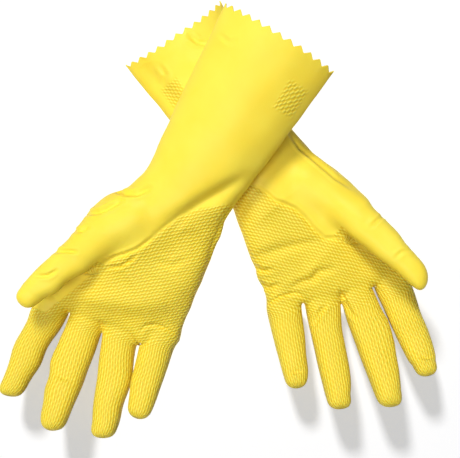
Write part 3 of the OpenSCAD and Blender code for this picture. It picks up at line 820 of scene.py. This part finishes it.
def makeDippedLatex(look):
    material, tree = newMaterial("dippedLatex")
    grip = addNode(tree, "ShaderNodeAttribute", {"attribute_name": "grip"}).outputs["Fac"]
    rows = addNode(tree, "ShaderNodeAttribute", {"attribute_name": "gripRows"}).outputs["Vector"]
    place = addNode(tree, "ShaderNodeAttribute", {"attribute_name": "filmPlace"}).outputs["Vector"]
    # the worn film is drawn a little this way and that, so the rows waver
    stretch = addNode(tree, "ShaderNodeTexNoise", {"Scale": 1 / look["stretchMm"], "Detail": 1.0},
                      {"Vector": place})
    pull = addNode(tree, "ShaderNodeVectorMath",
                   {"operation": "MULTIPLY", 1: (look["drawnMm"], look["drawnMm"], 0.0)},
                   {0: stretch.outputs["Color"]})
    drawn = addNode(tree, "ShaderNodeVectorMath", {"operation": "ADD"}, {0: rows, 1: pull.outputs[0]})
    x, y, ribShare = addNode(tree, "ShaderNodeSeparateXYZ", links={0: drawn.outputs[0]}).outputs
    waves = {}
    for name, (across, along) in look["waves"].items():
        turns = addNode(tree, "ShaderNodeMath", {"operation": "MULTIPLY", 1: 2 * math.pi * along}, {0: y})
        turns = addNode(tree, "ShaderNodeMath", {"operation": "MULTIPLY_ADD", 1: 2 * math.pi * across},
                        {0: x, 2: turns.outputs[0]})
        wave = addNode(tree, "ShaderNodeMath", {"operation": "COSINE"}, {0: turns.outputs[0]})
        waves[name] = wave.outputs[0]
    ticks = addNode(tree, "ShaderNodeMix", {0: look["tickShare"]}, {2: waves["row"], 3: waves["rib"]})
    gaps = addNode(tree, "ShaderNodeMath", {"operation": "MULTIPLY_ADD", 1: 0.5, 2: 0.5}, {0: waves["break"]})
    ribs = addNode(tree, "ShaderNodeMath", {"operation": "MULTIPLY"}, {0: waves["rib"], 1: gaps.outputs[0]})
    relief = addNode(tree, "ShaderNodeMix", links={0: ribShare, 2: ticks.outputs[0], 3: ribs.outputs[0]})
    foot, crown = look["crown"]
    raised = addNode(tree, "ShaderNodeMapRange",
                     {"From Min": foot, "From Max": crown, "interpolation_type": "SMOOTHSTEP"},
                     {"Value": relief.outputs[0]})
    height = addNode(tree, "ShaderNodeMath", {"operation": "MULTIPLY"},
                     {0: raised.outputs["Result"], 1: grip})
    # slow mottle of the dipped skin in colour and gloss, and its fine pits
    mottle = addNode(tree, "ShaderNodeTexNoise", {"Scale": 1 / look["mottleMm"], "Detail": 3.0},
                     {"Vector": place})
    pits = addNode(tree, "ShaderNodeTexNoise", {"Scale": 1 / look["pitMm"], "Detail": 2.0}, {"Vector": place})
    blotch = addNode(tree, "ShaderNodeMapRange",
                     {"From Min": look["mottle"][0], "From Max": look["mottle"][1]},
                     {"Value": mottle.outputs["Fac"]})
    body = addNode(tree, "ShaderNodeMix",
                   {"data_type": "RGBA", 6: linear(look["yellow"]), 7: linear(look["lit"])},
                   {0: blotch.outputs["Result"]})
    # painted shade in the grip's grooves and painted highlight on its raised parts, mixed into the body
    # colour where the grip lies
    paintedRelief = addNode(tree, "ShaderNodeMix",
                      {"data_type": "RGBA", 6: linear(look["paintedGrooveShade"]), 7: linear(look["paintedRaisedHighlight"])},
                      {0: raised.outputs["Result"]})
    amount = addNode(tree, "ShaderNodeMath", {"operation": "MULTIPLY", 1: look["gripPaintedShading"]}, {0: grip})
    colour = addNode(tree, "ShaderNodeMix", {"data_type": "RGBA"},
                     {0: amount.outputs[0], 6: body.outputs[2], 7: paintedRelief.outputs[2]})
    rough = addNode(tree, "ShaderNodeMapRange",
                    {"To Min": look["roughness"][0], "To Max": look["roughness"][1]},
                    {"Value": mottle.outputs["Fac"]})
    emboss = addNode(tree, "ShaderNodeBump", {"Strength": 1.0, "Distance": gripMm["height"] * mm},
                     {"Height": height.outputs[0]})
    skin = addNode(tree, "ShaderNodeBump",
                   {"Strength": look["pitStrength"], "Distance": look["pitDepthMm"] * mm},
                   {"Height": pits.outputs["Fac"], "Normal": emboss.outputs["Normal"]})
    shader = addNode(tree, "ShaderNodeBsdfPrincipled", look["surface"],
                     {"Base Color": colour.outputs[2], "Roughness": rough.outputs["Result"],
                      "Normal": skin.outputs["Normal"]})
    addNode(tree, "ShaderNodeOutputMaterial", links={"Surface": shader.outputs[0]})
    return material


# cotton flock, blown onto the wet film: short pale fibres with no gloss
flockLook = {"pale": "#EFE6B4", "tuft": "#DCCB86", "fibreMm": 0.5, "pileMm": 0.3, "pileStrength": 0.6,
             "surface": {"Roughness": 0.95, "Sheen Weight": 0.25}}


def makeCottonFlock(look):
    material, tree = newMaterial("cottonFlock")
    place = addNode(tree, "ShaderNodeAttribute", {"attribute_name": "filmPlace"})
    fibres = addNode(tree, "ShaderNodeTexNoise", {"Scale": 1 / look["fibreMm"], "Detail": 4.0},
                     {"Vector": place.outputs["Vector"]})
    colour = addNode(tree, "ShaderNodeMix",
                     {"data_type": "RGBA", 6: linear(look["pale"]), 7: linear(look["tuft"])},
                     {0: fibres.outputs["Fac"]})
    pile = addNode(tree, "ShaderNodeBump",
                   {"Strength": look["pileStrength"], "Distance": look["pileMm"] * mm},
                   {"Height": fibres.outputs["Fac"]})
    shader = addNode(tree, "ShaderNodeBsdfPrincipled", look["surface"],
                     {"Base Color": colour.outputs[2], "Normal": pile.outputs["Normal"]})
    addNode(tree, "ShaderNodeOutputMaterial", links={"Surface": shader.outputs[0]})
    return material


dippedLatex = makeDippedLatex(latexLook)
cottonFlock = makeCottonFlock(flockLook)
print("materials made")

films, digitFilms = [], []
for side in lay:
    digits, hand = dividePieces(side, *makeGlove(side))
    digitFilms += digits
    films += [hand, *digits]


# white studio: the floor shows white to the camera and keeps the shadows of the raised fingers
studio = {"floor": "#E7E7E9", "glow": 0.54, "sky": 0.08, "half": 4.0, "below": 0.3}
lamps = {
    "softMain": {"watts": 74.0, "at": (-0.5, 1.8, 2.7), "size": 0.8, "lights": "films"},
    "frontFill": {"watts": 60.0, "at": (-1.1, -0.9, 3.0), "size": 1.0, "lights": "films"},
    "floorKey": {"watts": 108.0, "at": (-0.9, 2.6, 2.4), "size": 0.5, "lights": "floor"}}
# fingers that have no shadow beside them in the photograph
shadeless = ("right_ring", "right_little")


# 1 for the rays that see the background itself, 0 for those that only gather its light
def seenDirectly(tree):
    rays = addNode(tree, "ShaderNodeLightPath").outputs
    mirrored = addNode(tree, "ShaderNodeMath", {"operation": "ADD"},
                       {0: rays["Is Glossy Ray"], 1: rays["Is Transmission Ray"]})
    seen = addNode(tree, "ShaderNodeMath", {"operation": "ADD", "use_clamp": True},
                   {0: rays["Is Camera Ray"], 1: mirrored.outputs[0]})
    return seen.outputs[0]


def addStudio(look):
    material, tree = newMaterial("studioFloor")
    paint = addNode(tree, "ShaderNodeBsdfDiffuse", {"Color": linear(look["floor"])})
    share = addNode(tree, "ShaderNodeMath", {"operation": "MULTIPLY", 1: look["glow"]},
                    {0: seenDirectly(tree)})
    glow = addNode(tree, "ShaderNodeEmission", {"Color": (1, 1, 1, 1)}, {"Strength": share.outputs[0]})
    both = addNode(tree, "ShaderNodeAddShader", links={0: paint.outputs[0], 1: glow.outputs[0]})
    addNode(tree, "ShaderNodeOutputMaterial", links={"Surface": both.outputs[0]})
    mesh = bpy.data.meshes.new("studioFloor")
    half, z = look["half"], -look["below"] * mm
    corners = [(-half, -half, z), (half, -half, z), (half, half, z), (-half, half, z)]
    mesh.from_pydata(corners, [], [(0, 1, 2, 3)])
    mesh.materials.append(material)
    floor = bpy.data.objects.new("studioFloor", mesh)
    scene.collection.objects.link(floor)
    world = bpy.data.worlds.new("studioSky")
    world.use_nodes = True
    tree = world.node_tree
    level = addNode(tree, "ShaderNodeMapRange", {"To Min": look["sky"], "To Max": 1.0},
                    {"Value": seenDirectly(tree)})
    tree.nodes["Background"].inputs["Color"].default_value = (1, 1, 1, 1)
    tree.links.new(level.outputs[0], tree.nodes["Background"].inputs["Strength"])
    scene.world = world
    return floor


# each lamp lights the gloves or the floor, as a cut-out photograph keeps the two apart
def addLamp(name, row, lit, blocks):
    data = bpy.data.lights.new(name, "AREA")
    data.energy = row["watts"]
    data.size = row["size"]
    lamp = bpy.data.objects.new(name, data)
    lamp.location = row["at"]
    lamp.rotation_euler = (-Vector(row["at"])).to_track_quat("-Z", "Y").to_euler()
    scene.collection.objects.link(lamp)
    receivers = bpy.data.collections.new(name + "Lit")
    blockers = bpy.data.collections.new(name + "Blocks")
    for obj in lit:
        receivers.objects.link(obj)
    for obj in blocks:
        blockers.objects.link(obj)
    lamp.light_linking.receiver_collection = receivers
    lamp.light_linking.blocker_collection = blockers


floor = addStudio(studio)
for name, row in lamps.items():
    if row["lights"] == "floor":
        addLamp(name, row, [floor], [obj for obj in digitFilms if not obj.name.startswith(shadeless)])
    else:
        addLamp(name, row, films, films)
print("studio lit")
